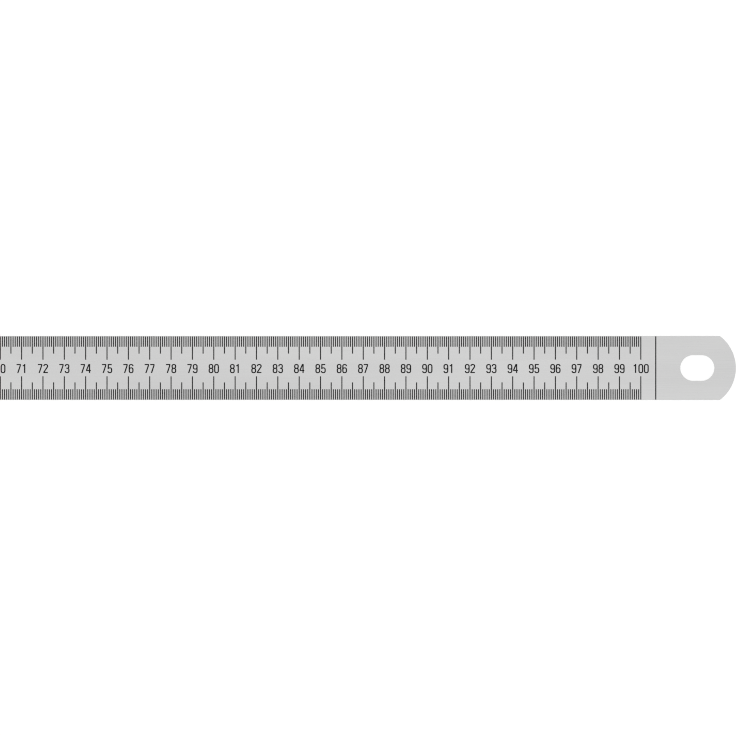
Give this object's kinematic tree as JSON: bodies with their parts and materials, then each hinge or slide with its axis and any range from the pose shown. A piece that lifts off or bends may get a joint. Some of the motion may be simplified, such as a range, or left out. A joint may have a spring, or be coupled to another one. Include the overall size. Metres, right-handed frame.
{
  "type": "steel ruler",
  "caption": "Thin flat steel ruler with a square zero end, a rounded far end with an oblong hanging hole, and a centimetre scale etched along both edges.",
  "frame": {"origin": "the middle of the square zero end face, so X is the reading of the scale", "axes": "+X along the scale from its zero to the rounded end, +Y across the blade, +Z out of the face with the scale"},
  "size_m": [1.0445, 0.03, 0.001],
  "materials": {
    "steel": "satin stainless steel, with its etched lines filled black"
  },
  "bodies": {
    "root": {"blade": "steel"}
  },
  "joints": []
}
